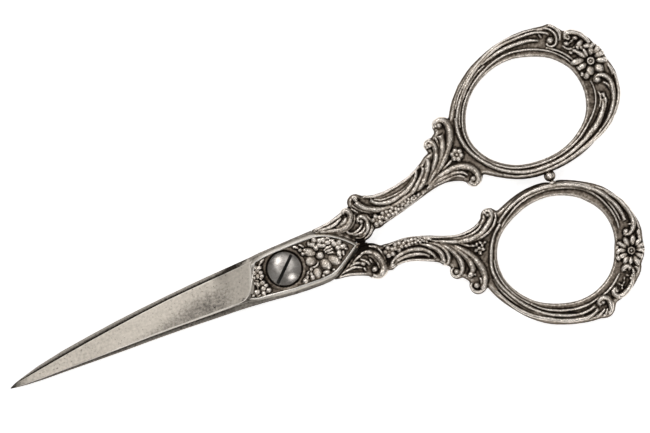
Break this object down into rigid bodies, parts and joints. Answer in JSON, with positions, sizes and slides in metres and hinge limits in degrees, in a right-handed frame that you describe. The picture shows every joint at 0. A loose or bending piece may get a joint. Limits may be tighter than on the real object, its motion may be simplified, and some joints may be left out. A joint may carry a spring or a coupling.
{
  "type": "embroidery scissors",
  "caption": "Ornate embroidery scissors: slim tapered blades on a slotted pivot screw, flower panels at the pivot, scrolled handles with finger bows and a stop bead.",
  "frame": {"origin": "on the pivot axis, at the flat end of the pivot screw on the underside", "axes": "+X from the pivot to the handles along the closed blades, +Y to the upper handle, +Z out of the front face with the screw head"},
  "size_m": [0.1155, 0.0505, 0.004],
  "materials": {
    "blade_steel": "satin steel with fine dark age pits",
    "aged_silver": "polished silver with dark brown patina in the recesses",
    "screw_steel": "worn polished steel"
  },
  "bodies": {
    "back_half": {"back_blade": "blade_steel", "back_flower_panel": "aged_silver", "lower_handle_front_shell": "aged_silver", "lower_handle_back_shell": "aged_silver", "stop_pin": "aged_silver", "pivot_screw": "screw_steel"},
    "front_half": {"front_blade": "blade_steel", "front_flower_panel": "aged_silver", "upper_handle_front_shell": "aged_silver", "upper_handle_back_shell": "aged_silver", "stop_bead": "aged_silver"}
  },
  "joints": [
    {"name": "pivot", "type": "hinge", "parent": "back_half", "child": "front_half", "pos_m": [0, 0, 0.0017], "axis": [0, 0, 1], "range_deg": [0, 75]}
  ]
}
